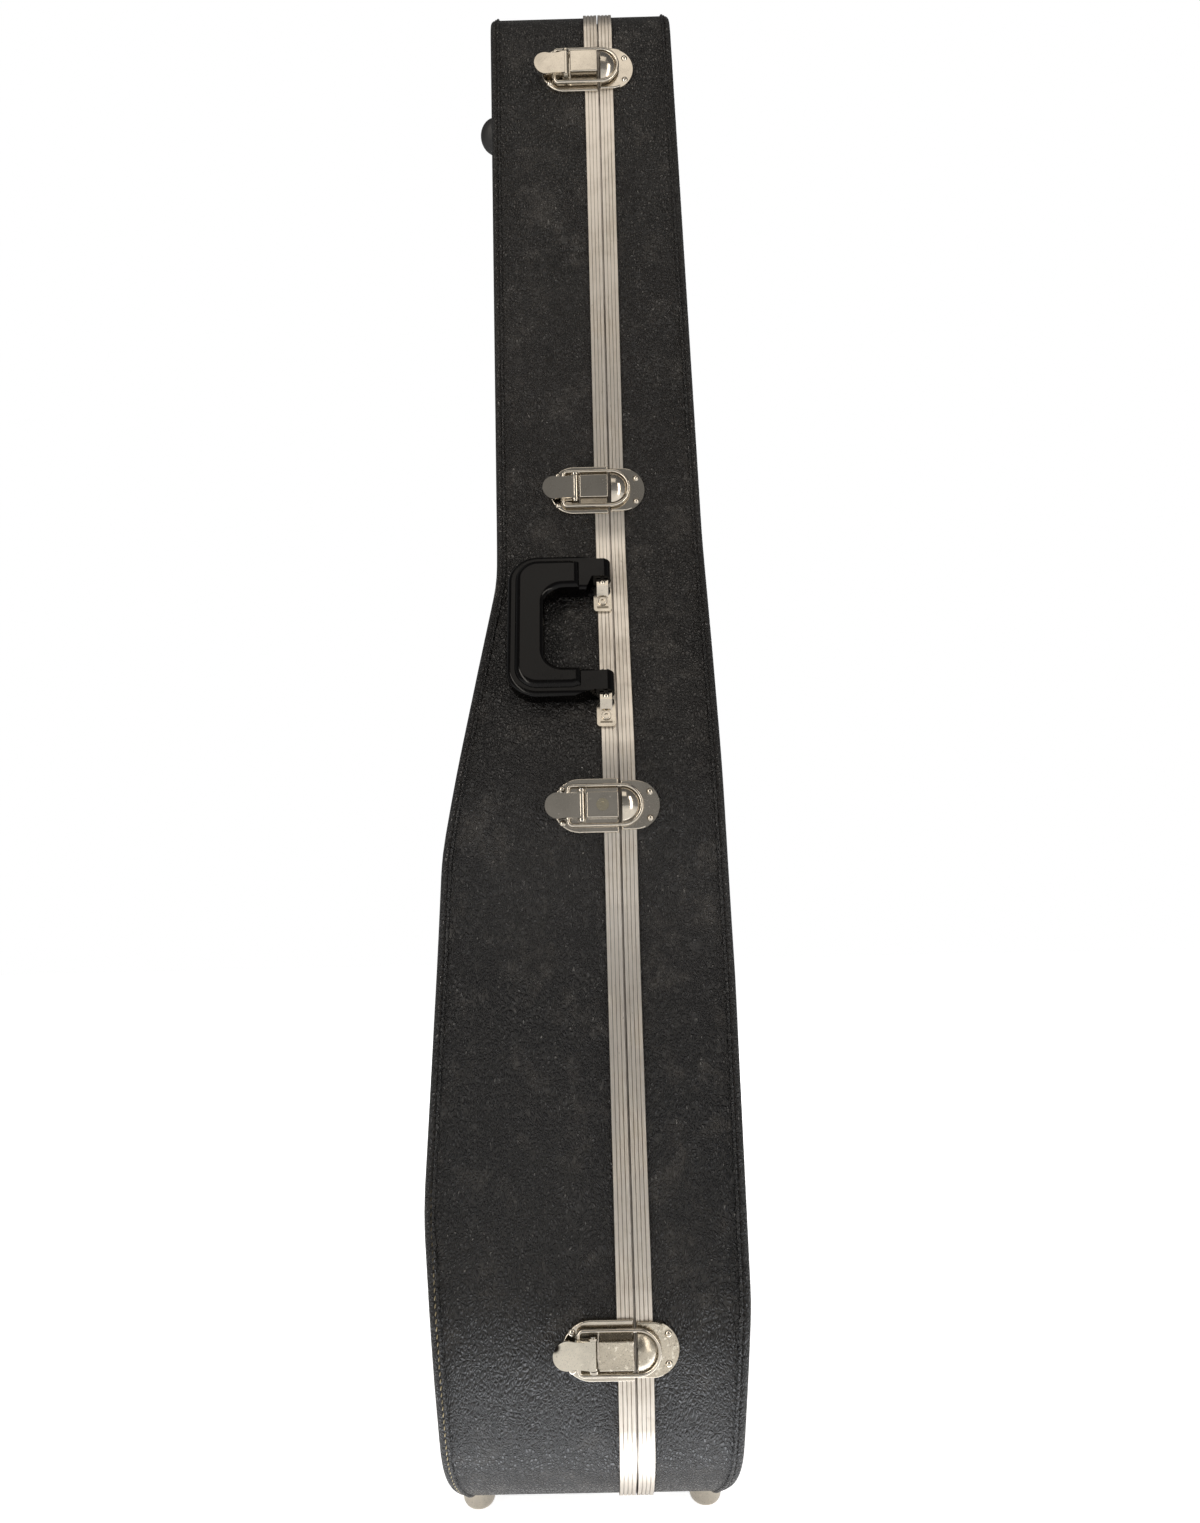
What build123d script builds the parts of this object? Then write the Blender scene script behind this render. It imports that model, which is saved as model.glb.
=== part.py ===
from build123d import *
import math
import os

os.makedirs("parts", exist_ok=True)

# A parlour guitar case that stands upright on four glides at its tail.
# Z runs along the case, from the tail at the floor up to the head end.
# The latch side faces -Y, the hinged side +Y. The deep half, which holds
# the instrument, lies at -X and the shallower lid at +X of the split.

# Whole case
tail_height = 11.0
case_height = 1016.0
rim_gap = 1.0
fit_gap = 0.3

# Half outline, as corners (across, up) that are each rounded by their radius
tail_flat = 120.0
tail_corner_radius = 95.0
bout_start = (177.0, 52.0)
bout_start_radius = 80.0
lower_bout = (193.0, 130.0)
lower_bout_radius = 150.0
waist = (152.0, 345.0)
waist_radius = 260.0
upper_bout = (155.0, 452.0)
upper_bout_radius = 110.0
neck_start = (91.0, 620.0)
neck_start_radius = 90.0
head_half_width = 86.0
head_corner_radius = 28.0

# Depth of each half at its middle, as corners (depth, up), and the crown
deep_tail = 90.0
deep_toe = (118.5, 50.0)
deep_toe_radius = 140.0
deep_low = (127.5, 200.0)
deep_low_radius = 260.0
deep_mid = (115.5, 405.0)
deep_mid_radius = 200.0
deep_neck = (80.0, 590.0)
deep_neck_radius = 140.0
deep_head = 78.0
shallow_tail = 36.0
shallow_toe = (68.5, 50.0)
shallow_toe_radius = 110.0
shallow_low = (76.0, 150.0)
shallow_low_radius = 200.0
shallow_mid = (74.0, 330.0)
shallow_mid_radius = 300.0
shallow_neck = (69.5, 480.0)
shallow_neck_radius = 300.0
shallow_head = 52.0
crown_radius = 1500.0

# Shell
wall = 5.0
panel = 5.0
rim_round = 3.5
lining = 7.0
bead_radius = 1.1
bead_inset = 5.4

# Aluminium trim round both mouths
trim_width = 9.4
trim_proud = 1.5
trim_leg = 1.2
trim_web = 1.2
rib_count = 4
groove_width = 0.8
groove_depth = 0.45
tongue_width = 1.2
tongue_reach = 3.0
tongue_inset = 3.4
tongue_clearance = 0.45
lid_web = 4.0

# Draw latches
latch_heights = (129.6, 432.7, 654.6, case_height - 56.0)
locked_latch = 1
plate_half = 16.5
plate_top = 2.7
plate_left = 40.5
box_left = 20.0
box_right = 1.0
box_half = 7.8
box_top = 9.5
box_wall = 1.2
pivot_x = -23.0
pivot_up = 7.2
pivot_pin_radius = 1.0
barrel_radius = 2.1
paddle_length = 22.0
paddle_half = 7.9
paddle_thick = 1.2
paddle_dip = 1.1
ear_inner = 6.6
ear_thick = 1.2
lug_thick = 1.2
lug_half = 2.5
bail_arm = 11.9
bail_wire = 1.25
bail_x = -31.0
bail_up = 5.1
loop_x = 1.2
hook_gap = 0.4
hook_straight = 2.9
hook_height = 7.4
hook_wall = 1.1
keeper_right = 24.0
keeper_half = 15.0
keeper_flange = 1.4
rivet_radius = 2.1
rivet_height = 1.2
running_gap = 0.05
lock_radius = 3.8

# Carrying handle on the straight shoulder
handle_height = 547.6
ring_spacing = 87.0
ring_x = -6.6
ring_up = 8.4
ring_radius = 5.6
ring_length = 14.0
handle_pin_radius = 2.4
grip_reach = 61.5
grip_half = 54.0
grip_width = 24.0
grip_thick = 11.2
grip_corner = 20.0
window_low = -34.5
window_high = 26.7
window_corner = 12.0
grip_round = 3.0
crest_up = 17.0
crest_lip = 5.0
crest_start = 15.0
crest_round = 4.2
bracket_half = 6.0
bracket_length = 19.5
bracket_thick = 1.4

# Feet
glide_radius = 9.8
glide_flat = 3.5
glide_spread = 105.0
glide_deep_x = -97.0
glide_lid_x = 44.0
foot_radius = 11.5
foot_height = 9.0
foot_head_spread = 60.0
foot_head_up = case_height - 81.0
foot_tail_spread = 80.0
foot_tail_up = 95.0

# Spine hinges
hinge_length = 46.0
knuckle_radius = 2.7
hinge_pin_radius = 1.5
knuckle_lift = 0.4
leaf_start = 3.1
leaf_reach = 22.0
leaf_thick = 1.3

# Inside the deep half
box_low = 706.0
box_high = 774.0
partition = 5.0
box_rim_x = -30.0
flap_thick = 3.0
tray_half = 76.6
tray_floor_x = -64.4
tray_side = 4.0
tray_floor = 3.0
flap_half = 73.8
flap_pin_radius = 0.8
flap_axis_x = box_rim_x + fit_gap + flap_thick / 2
flap_axis_up = box_high - 3.0
cradle_low = 640.0
cradle_high = 666.0
cradle_rim_x = -10.0
notch_half = 28.0
notch_floor_x = -36.0


# Rounded corner: where it starts and ends, its middle and its centre
def rounded_corner(before, corner, after, radius):
    ax, ay = before[0] - corner[0], before[1] - corner[1]
    bx, by = after[0] - corner[0], after[1] - corner[1]
    la = math.hypot(ax, ay)
    lb = math.hypot(bx, by)
    ax, ay, bx, by = ax / la, ay / la, bx / lb, by / lb
    half = math.acos(max(-1.0, min(1.0, ax * bx + ay * by))) / 2
    run = radius / math.tan(half)
    mx, my = ax + bx, ay + by
    lm = math.hypot(mx, my)
    mx, my = mx / lm, my / lm
    away = radius / math.sin(half)
    centre = (corner[0] + mx * away, corner[1] + my * away)
    start = (corner[0] + ax * run, corner[1] + ay * run)
    end = (corner[0] + bx * run, corner[1] + by * run)
    middle = (centre[0] - mx * radius, centre[1] - my * radius)
    return start, middle, end, centre


# Open chain of straights and tangent arcs through rounded corners
def rounded_chain(points, radii):
    pieces = []
    last = points[0]
    for i in range(1, len(points) - 1):
        start, middle, end, centre = rounded_corner(
            points[i - 1], points[i], points[i + 1], radii[i - 1]
        )
        pieces.append(("line", last, start))
        pieces.append(("arc", start, middle, end, centre, radii[i - 1]))
        last = end
    pieces.append(("line", last, points[-1]))
    return pieces


outline_points = [
    (0.0, tail_height),
    (tail_flat, tail_height),
    bout_start,
    lower_bout,
    waist,
    upper_bout,
    neck_start,
    (head_half_width, case_height),
    (0.0, case_height),
]
outline_radii = [
    tail_corner_radius,
    bout_start_radius,
    lower_bout_radius,
    waist_radius,
    upper_bout_radius,
    neck_start_radius,
    head_corner_radius,
]
outline_pieces = rounded_chain(outline_points, outline_radii)


# Edges of a chain, with across and up turned into plane coordinates
def chain_edges(pieces, place):
    edges = []
    for piece in pieces:
        if piece[0] == "line":
            edges.append(Line(place(piece[1]), place(piece[2])))
        else:
            edges.append(ThreePointArc(place(piece[1]), place(piece[2]), place(piece[3])))
    return edges


# Closed face of the case outline in the split plane, grown by an amount
def outline_face(grown):
    right = chain_edges(outline_pieces, lambda p: (0, p[0], p[1]))
    left = chain_edges(outline_pieces, lambda p: (0, -p[0], p[1]))
    face = Face(Wire(right + left))
    if grown:
        face = Face(face.outer_wire().offset_2d(grown, kind=Kind.ARC))
    if face.normal_at().X < 0:
        face = -face
    return face


# Slab of the outline between two depths across the split
def outline_slab(grown, x_from, x_to):
    face = outline_face(grown)
    slab = extrude(face, amount=abs(x_to - x_from), dir=(1, 0, 0))
    return Pos(min(x_from, x_to), 0, 0) * slab


# Band that follows the outline, between two growths and two depths
def outline_band(inner, outer, x_from, x_to):
    band = outline_slab(outer, x_from, x_to)
    return band - outline_slab(inner, x_from - 1, x_to + 1)


deep_points = [
    (deep_tail, -40.0),
    deep_toe,
    deep_low,
    deep_mid,
    deep_neck,
    (deep_head, case_height + 40),
]
deep_radii = [deep_toe_radius, deep_low_radius, deep_mid_radius, deep_neck_radius]
shallow_points = [
    (shallow_tail, -40.0),
    shallow_toe,
    shallow_low,
    shallow_mid,
    shallow_neck,
    (shallow_head, case_height + 40),
]
shallow_radii = [shallow_toe_radius, shallow_low_radius, shallow_mid_radius, shallow_neck_radius]


# Crowned block as deep as one half, less an inset, on its side of the split
def crowned_block(side, inset):
    points = deep_points if side < 0 else shallow_points
    radii = deep_radii if side < 0 else shallow_radii
    pieces = rounded_chain([(d - inset, up) for d, up in points], radii)
    edges = chain_edges(pieces, lambda p: (side * p[0], 0, p[1]))
    near = -side * 30
    first, last = points[0], points[-1]
    edges.append(Line((side * (first[0] - inset), 0, first[1]), (near, 0, first[1])))
    edges.append(Line((near, 0, first[1]), (near, 0, last[1])))
    edges.append(Line((near, 0, last[1]), (side * (last[0] - inset), 0, last[1])))
    face = Face(Wire(edges))
    axis = Axis((-side * crown_radius, 0, 0), (0, 0, 1))
    block = revolve(face, axis=axis, revolution_arc=20)
    return block.rotate(axis, -10)


# Solid case half inside its skin by an inset, from a depth off the split
def half_solid(side, inset, x_edge):
    depth = max(deep_low[0], shallow_low[0]) + 20
    return outline_slab(-inset, side * x_edge, side * depth) & crowned_block(side, inset)


# Point on the outline at a height: across, and its tangent going up
def outline_at(up):
    for piece in outline_pieces:
        first, last = piece[1], piece[2] if piece[0] == "line" else piece[3]
        if not min(first[1], last[1]) - 1e-9 <= up <= max(first[1], last[1]) + 1e-9:
            continue
        if piece[0] == "line" and abs(last[1] - first[1]) > 1e-6:
            share = (up - first[1]) / (last[1] - first[1])
            run = math.hypot(last[0] - first[0], last[1] - first[1])
            across = first[0] + share * (last[0] - first[0])
            return across, ((last[0] - first[0]) / run, (last[1] - first[1]) / run)
        if piece[0] == "arc":
            centre, radius = piece[4], piece[5]
            rise = up - centre[1]
            run = math.sqrt(radius * radius - rise * rise)
            bulges = piece[2][0] > centre[0]
            across = centre[0] + run if bulges else centre[0] - run
            tangent = (-rise / radius, run / radius) if bulges else (rise / radius, run / radius)
            return across, tangent
    return head_half_width, (0.0, 1.0)


# Plane on the latch side at a height: x across the split, y up, z outward
def latch_side_plane(up):
    across, tangent = outline_at(up)
    return Plane(origin=(0, -across, up), x_dir=(1, 0, 0), z_dir=(0, -tangent[1], -tangent[0]))


# Skin of one half as a solid block, with its rim rounded
def shell_skin(side):
    skin = half_solid(side, 0, rim_gap / 2 + (trim_web if side < 0 else lid_web))
    return fillet(crowned_rim(skin, side), rim_round)


# Crowned panel and side wall of one half
def shell_parts(side, skin):
    core = crowned_block(side, panel)
    cover = skin - core
    band = (skin & core) - outline_slab(-wall, side * -5, side * 160)
    return cover, band


# Edges round the crowned side of a solid, where it meets the outline
def crowned_rim(solid, side):
    crowned = []
    for face in solid.faces():
        if abs(face.normal_at().X) > 0.7 and side * face.center().X > 30:
            crowned.append(face)
    seen = {}
    for face in crowned:
        for edge in face.edges():
            key = tuple(round(v, 2) for v in edge.position_at(0.5))
            seen.setdefault(key, []).append(edge)
    return [edges[0] for edges in seen.values() if len(edges) == 1]


# Half-round bead over the seam between the covering of wall and panel,
# with room left for the glides
def seam_bead(side):
    guide = outline_slab(0, side * 20, side * 160) & crowned_block(side, bead_inset)
    path = Wire(crowned_rim(guide, side))
    along = path.tangent_at(0)
    outward = along.cross(Vector(1, 0, 0))
    start = Plane(origin=path.position_at(0), x_dir=outward, z_dir=along)
    bead = sweep(start * Circle(bead_radius), path=path)
    bead -= outline_slab(0, side * 20, side * 160)
    glide_x = glide_deep_x if side < 0 else glide_lid_x
    for y in (-glide_spread, glide_spread):
        bead -= Pos(glide_x, y, tail_height) * Cylinder(glide_radius + fit_gap, tail_height)
    return bead


# Fine grooves that leave ribs along one strip of trim
def trim_grooves(x_from, side):
    grooves = []
    pitch = trim_width / rib_count
    for i in range(1, rib_count):
        middle = x_from + side * i * pitch
        grooves.append(
            outline_band(
                trim_proud - groove_depth,
                trim_proud + 1,
                middle - groove_width / 2,
                middle + groove_width / 2,
            )
        )
    return grooves


# Trim of the deep half: a channel over the wall edge, with a tongue
def deep_trim():
    mouth = -rim_gap / 2
    far = mouth - trim_width
    outer = outline_band(0, trim_proud, far, mouth)
    inner = outline_band(-wall - trim_leg, -wall, far, mouth)
    web = outline_band(-wall - trim_leg, trim_proud, mouth - trim_web, mouth)
    tongue = outline_band(
        -tongue_inset - tongue_width, -tongue_inset, mouth - trim_web, mouth + tongue_reach
    )
    spine = Pos(0, 200, 300) * Box(40, 240, 800)
    trim = outer + inner + web + (tongue - spine)
    for groove in trim_grooves(mouth, -1):
        trim -= groove
    return trim


# Trim of the lid: a thicker channel with a groove for the tongue
def lid_trim():
    mouth = rim_gap / 2
    far = mouth + trim_width
    outer = outline_band(0, trim_proud, mouth, far)
    inner = outline_band(-wall - trim_leg, -wall, mouth, far)
    web = outline_band(-wall - trim_leg, trim_proud, mouth, mouth + lid_web)
    slot = outline_band(
        -tongue_inset - tongue_width - tongue_clearance,
        -tongue_inset + tongue_clearance,
        mouth - 1,
        tongue_reach + tongue_clearance,
    )
    trim = outer + inner + web - slot
    for groove in trim_grooves(mouth, 1):
        trim -= groove
    return trim


# Plush-covered padding inside one half
def padding(side):
    mouth = rim_gap / 2 + trim_width + fit_gap
    outer = half_solid(side, wall + fit_gap, mouth)
    return outer - half_solid(side, wall + fit_gap + lining, mouth - 2)


# Shape with its underside bedded on the skin and the trim
def bedded(shape):
    return shape - skin_bed - trim_bed


# Cylinder across a local frame, along its y, about a point (x, z)
def cross_bar(radius, length, x, z, middle=0.0):
    bar = Cylinder(radius, length, rotation=(90, 0, 0))
    return Pos(x, middle, z) * bar


# Block between two corners
def block(x0, x1, y0, y1, z0, z1):
    middle = Pos((x0 + x1) / 2, (y0 + y1) / 2, (z0 + z1) / 2)
    return middle * Box(x1 - x0, y1 - y0, z1 - z0)


# Low domed head of a rivet, standing on a height
def domed_head(radius, height, x, y, z):
    ball = (radius * radius + height * height) / (2 * height)
    dome = Pos(x, y, z + height - ball) * Sphere(ball)
    return dome & (Pos(x, y, z + height) * Box(4 * radius, 4 * radius, 2 * height))


# Plate of a latch on the deep half
def latch_plate(place):
    centre = -(plate_left - plate_half)
    left = Pos(centre, 0) * Circle(plate_half)
    right = Pos((centre - 0.8) / 2, 0) * Rectangle(-centre - 0.8, 2 * plate_half)
    plate = extrude(left + right, amount=plate_top + 3)
    plate = Pos(0, 0, -3) * plate
    top = plate.faces().sort_by(Axis.Z)[-1]
    plate = fillet(top.edges(), 0.9)
    return bedded(place * plate)


# Two lugs standing on a latch plate, for the pin of its lever
def latch_lugs(place):
    inner = ear_inner + ear_thick + fit_gap
    lugs = []
    for way in (1, -1):
        low, high = sorted((way * inner, way * (inner + lug_thick)))
        lug = block(pivot_x - lug_half, pivot_x + lug_half, low, high, plate_top, pivot_up)
        lug += cross_bar(lug_half, lug_thick, pivot_x, pivot_up, (low + high) / 2)
        lugs.append(place * (lug - cross_bar(pivot_pin_radius, 40, pivot_x, pivot_up)))
    return lugs


# Square cover over the works of a latch
def latch_box(place, locked):
    cover = block(-box_left, -box_right, -box_half, box_half, plate_top, box_top)
    cover = fillet(cover.edges().filter_by(Axis.Z), 0.8)
    cover = fillet(cover.faces().sort_by(Axis.Z)[-1].edges(), 0.6)
    cover -= block(
        -box_left + box_wall,
        -box_right - box_wall,
        -box_half + box_wall,
        box_half - box_wall,
        plate_top - 1,
        box_top - box_wall,
    )
    if locked:
        middle = -(box_left + box_right) / 2
        cover -= Pos(middle, 0, box_top) * Cylinder(lock_radius + running_gap, 6)
    return place * cover


# Lever with its paddle, hinge barrel and the two ears that pull the bail
def latch_lever(place):
    top = pivot_up + barrel_radius
    tip = pivot_x - paddle_length
    middle = (pivot_x + tip) / 2
    upper = ThreePointArc((pivot_x, 0, top), (middle, 0, top - paddle_dip), (tip, 0, top - 0.2))
    base = top - paddle_thick
    lower = ThreePointArc((tip, 0, base - 0.2), (middle, 0, base - paddle_dip), (pivot_x, 0, base))
    ends = [Line(upper @ 1, lower @ 0), Line(lower @ 1, upper @ 0)]
    side = Face(Wire([upper, ends[0], lower, ends[1]]))
    paddle = extrude(side, amount=paddle_half, dir=(0, 1, 0), both=True)
    plan = Pos(tip + paddle_half, 0) * Circle(paddle_half)
    straight = pivot_x - tip - paddle_half
    plan += Pos(pivot_x - straight / 2, 0) * Rectangle(straight, 2 * paddle_half)
    for way in (1, -1):
        plan -= Pos(middle + 3, way * (paddle_half + 29.4)) * Circle(30)
    paddle &= extrude(plan, amount=30)
    lever = paddle + cross_bar(barrel_radius, 2 * (ear_inner + ear_thick), pivot_x, pivot_up)
    reach = math.hypot(bail_x - pivot_x, bail_up - pivot_up)
    tilt = math.degrees(math.atan2(pivot_up - bail_up, pivot_x - bail_x))
    ear = SlotCenterToCenter(reach, 2 * barrel_radius, rotation=tilt)
    ear = Plane.XZ * (Pos((pivot_x + bail_x) / 2, (pivot_up + bail_up) / 2) * ear)
    ear = extrude(ear, amount=ear_thick / 2, both=True)
    for way in (1, -1):
        lever += Pos(0, way * (ear_inner + ear_thick / 2), 0) * ear
    lever -= cross_bar(pivot_pin_radius + running_gap, 40, pivot_x, pivot_up)
    lever -= cross_bar(bail_wire + running_gap, 40, bail_x, bail_up)
    return place * lever


# Wire bail: its bent-in ends sit in the ears and its loop goes over the hook
def latch_bail(place):
    corner = 2.6
    inner_end = ear_inner - 0.4
    turn = corner * (1 - math.sqrt(0.5))
    up = bail_up
    path = []
    for way in (1, -1):
        path.append(Line((bail_x, way * inner_end, up), (bail_x, way * (bail_arm - corner), up)))
        path.append(
            ThreePointArc(
                (bail_x, way * (bail_arm - corner), up),
                (bail_x + turn, way * (bail_arm - turn), up),
                (bail_x + corner, way * bail_arm, up),
            )
        )
        path.append(Line((bail_x + corner, way * bail_arm, up), (loop_x, way * bail_arm, up)))
    path.append(
        ThreePointArc(
            (loop_x, bail_arm, up), (loop_x + bail_arm, 0, up), (loop_x, -bail_arm, up)
        )
    )
    wire = Wire(path)
    start = Plane(origin=wire.position_at(0), z_dir=wire.tangent_at(0))
    return place * sweep(start * Circle(bail_wire), path=wire)


# Round block with a domed top, kept only beyond the open side
def half_hook(radius, straight, height):
    base = plate_top - 0.2
    rise = height - straight
    ball = (radius * radius + rise * rise) / (2 * rise)
    post = Pos(loop_x, 0, base + height / 2) * Cylinder(radius, height)
    dome = Pos(loop_x, 0, base + height - ball) * Sphere(ball)
    return (post & dome) & block(loop_x, loop_x + 30, -30, 30, 0, 30)


# Keeper of a latch on the lid, with the hook that the bail pulls on
def latch_keeper(place):
    centre = keeper_right - keeper_half
    right = Pos(centre, 0) * Circle(keeper_half)
    left = Pos((centre + 0.8) / 2, 0) * Rectangle(centre - 0.8, 2 * keeper_half)
    plate = Pos(0, 0, -3) * extrude(left + right, amount=plate_top + 3)
    plate &= block(0.8, keeper_right + 1, -30, 30, -5, 10)
    plate = fillet(plate.faces().sort_by(Axis.Z)[-1].edges(), 0.9)
    flange_from = loop_x + bail_arm + bail_wire + 0.6
    plate -= block(flange_from, 40, -30, 30, keeper_flange, 10)
    hook_radius = bail_arm - bail_wire - hook_gap
    hook = half_hook(hook_radius, hook_straight, hook_height)
    hook -= half_hook(hook_radius - hook_wall, hook_straight, hook_height - hook_wall) & block(
        -1, 40, -30, 30, plate_top, 40
    )
    return bedded(place * (plate + hook))


# Two rivets through a latch plate, clear of the ears and the bail
def plate_rivets(place):
    x = bail_x - bail_wire - fit_gap - rivet_radius
    y = ear_inner + ear_thick + fit_gap + rivet_radius
    return [place * domed_head(rivet_radius, rivet_height, x, w * y, plate_top) for w in (1, -1)]


# Two rivets through the flange of a keeper
def keeper_rivets(place):
    x = keeper_right - 5.8
    return [place * domed_head(rivet_radius, rivet_height, x, w * 8, keeper_flange) for w in (1, -1)]


# Pin on which a lever turns, peened outside its lugs
def lever_pin(place):
    outside = ear_inner + ear_thick + fit_gap + lug_thick
    pin = cross_bar(pivot_pin_radius, 2 * outside, pivot_x, pivot_up)
    for way in (1, -1):
        pin += cross_bar(1.6, 0.6, pivot_x, pivot_up, way * (outside + 0.3))
    return place * pin


# Lock plug with its keyhole
def lock_plug(place):
    middle = -(box_left + box_right) / 2
    plug = Pos(middle, 0, box_top - 2.1) * Cylinder(lock_radius, 5)
    keyhole = Pos(middle, 0.9, box_top) * Cylinder(1.0, 3)
    keyhole += block(middle - 0.5, middle + 0.5, -2.4, 0.9, box_top - 1.5, box_top + 1)
    return place * (plug - keyhole)


# Moulded handle, lying over the deep half
def carrying_handle(place):
    ring_end = ring_spacing / 2 + ring_length / 2
    ring_start = ring_spacing / 2 - ring_length / 2
    clear_x = ring_x - bracket_half - 0.8
    left = ring_x - grip_reach
    outer = []
    for way in (1, -1):
        corners = [
            (ring_x, way * ring_end),
            (clear_x, way * ring_end),
            (clear_x - 13, way * grip_half),
            (left, way * grip_half),
        ]
        outer.append(corners if way > 0 else corners[::-1])
    plan = make_face(Polyline(*(outer[0] + outer[1]), close=True))
    ends = plan.vertices().filter_by_position(Axis.X, left - 1, left + 1)
    plan = fillet(ends, grip_corner)
    edge_x = left + grip_width
    window = []
    for way, inner in ((1, window_high), (-1, window_low)):
        corners = [
            (ring_x + 12, way * ring_start),
            (clear_x, way * ring_start),
            (clear_x - 4, inner),
            (edge_x, inner),
        ]
        window.append(corners if way > 0 else corners[::-1])
    opening = make_face(Polyline(*(window[0] + window[1]), close=True))
    ends = opening.vertices().filter_by_position(Axis.X, edge_x - 1, edge_x + 1)
    opening = fillet(ends, window_corner)
    grip = extrude(plan - opening, amount=grip_thick / 2, both=True)
    grip = Pos(0, 0, ring_up) * grip
    left_rim = [e for e in grip.edges() if e.bounding_box().max.X < clear_x - 9]
    flat_rim = [e for e in left_rim if e.bounding_box().size.Z < 0.01]
    grip = fillet(flat_rim, grip_round)
    raised = Face(plan.face().outer_wire().offset_2d(-crest_lip, kind=Kind.ARC))
    crest = extrude(raised, amount=crest_up - ring_up, dir=(0, 0, 1))
    crest = Pos(0, 0, ring_up) * crest
    crest -= extrude(opening, amount=40, both=True)
    crest &= block(left - 1, ring_x - crest_start, -80, 80, 0, 30)
    crest = fillet(crest.faces().sort_by(Axis.Z)[-1].edges(), crest_round)
    grip += crest
    for way in (1, -1):
        grip += cross_bar(ring_radius, ring_length, ring_x, ring_up, way * ring_spacing / 2)
    grip -= cross_bar(handle_pin_radius + running_gap, 3 * ring_spacing, ring_x, ring_up)
    return place * grip


# Bracket whose bent strap carries one ring of the handle on a pin
def handle_bracket(place, middle):
    near = middle - ring_length / 2 - 0.5
    plate = Rectangle(2 * bracket_half - 0.4, bracket_length)
    plate = fillet(plate.vertices(), 2.2)
    top = trim_proud + bracket_thick
    plate = Pos(ring_x, near - bracket_length / 2, -3) * extrude(plate, amount=top + 3)
    crest = ring_up + handle_pin_radius
    strap = Polyline(
        (0, near - 16.5, top - 0.2),
        (0, near - 16.5, top + 1.2),
        (0, near - 9, top + 1.2),
        (0, near - 5, crest),
        (0, near, crest),
        (0, near, ring_up - handle_pin_radius),
        (0, near - 3.2, ring_up - handle_pin_radius),
        (0, near - 5.5, top - 0.2),
        close=True,
    )
    strap = extrude(make_face(strap), amount=3.7, dir=(1, 0, 0), both=True)
    strap = Pos(ring_x, 0, 0) * strap
    far = middle + ring_length / 2 + 0.4
    pin = cross_bar(handle_pin_radius, far + 1.2 - near + 0.5, ring_x, ring_up, (far + 0.7 + near) / 2)
    head = cross_bar(3.6, 1.6, ring_x, ring_up, far + 0.8)
    return bedded(place * (plate + strap + pin + head))


# Domed rivet on the crest of a handle strap
def strap_rivet(place, middle):
    near = middle - ring_length / 2 - 0.5
    return place * domed_head(2.0, 1.1, ring_x, near - 2.4, ring_up + handle_pin_radius)


# Hollow-ended rivet through the low end of a handle bracket
def strap_screw(place, middle):
    near = middle - ring_length / 2 - 0.5
    top = trim_proud + bracket_thick + 1.2
    head = Pos(ring_x, near - 12.8, top + 0.6) * Cylinder(3.0, 1.2)
    head = fillet(head.faces().sort_by(Axis.Z)[-1].edges(), 0.5)
    return place * (head - Pos(ring_x, near - 12.8, top + 1.2) * Cylinder(1.2, 1.6))


# Domed metal glide under the tail, with a small worn flat
def tail_glide(x, y):
    up = tail_height - 3.0
    top = tail_height + 8.0
    mid = (glide_flat + 0.80 * (glide_radius - glide_flat), up * 0.34)
    profile = [
        Line((0, 0, 0), (glide_flat, 0, 0)),
        ThreePointArc((glide_flat, 0, 0), (mid[0], 0, mid[1]), (glide_radius, 0, up)),
        Line((glide_radius, 0, up), (glide_radius, 0, top)),
        Line((glide_radius, 0, top), (0, 0, top)),
        Line((0, 0, top), (0, 0, 0)),
    ]
    glide = revolve(Face(Wire(profile)), axis=Axis.Z)
    return (Pos(x, y, 0) * glide) - skin_bed


# Depth of the crowned panel of the deep half at a place
def deep_depth(y, up):
    points = deep_points
    depth = points[0][0]
    for first, last in zip(points, points[1:]):
        if first[1] <= up <= last[1]:
            share = (up - first[1]) / (last[1] - first[1])
            depth = first[0] + share * (last[0] - first[0])
    centre = crown_radius + depth
    return math.sqrt(centre * centre - y * y) - crown_radius


# Rubber foot on the back of the deep half
def back_foot(y, up, skin):
    depth = deep_depth(y, up)
    ball = (foot_radius * foot_radius + foot_height * foot_height) / (2 * foot_height)
    dome = Pos(0, 0, foot_height - ball) * Sphere(ball)
    foot = dome & (Pos(0, 0, 10) * Box(40, 40, 20))
    foot += Pos(0, 0, -2) * Cylinder(foot_radius, 4)
    place = Plane(origin=(-depth, y, up), x_dir=(0, 1, 0), z_dir=(-1, 0, 0))
    return (place * foot) - skin


# Points where one straight line touches both bouts, and its direction out
def spine_line():
    low = outline_pieces[5]
    high = outline_pieces[9]
    dx, dz = high[4][0] - low[4][0], high[4][1] - low[4][1]
    run = math.hypot(dx, dz)
    dx, dz = dx / run, dz / run
    along = (low[5] - high[5]) / run
    out = math.sqrt(1 - along * along)
    ny = dx * along + dz * out
    nz = dz * along - dx * out
    ends = []
    for arc in (low, high):
        ends.append((arc[4][0] + ny * arc[5], arc[4][1] + nz * arc[5]))
    return ends, (ny, nz)


spine_ends, spine_out = spine_line()
knuckle_up = trim_proud + knuckle_lift + knuckle_radius


# Plane on the spine at one hinge: x across the split, z outward
def spine_plane(end):
    return Plane(
        origin=(0, end[0], end[1]), x_dir=(1, 0, 0), z_dir=(0, spine_out[0], spine_out[1])
    )


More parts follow.
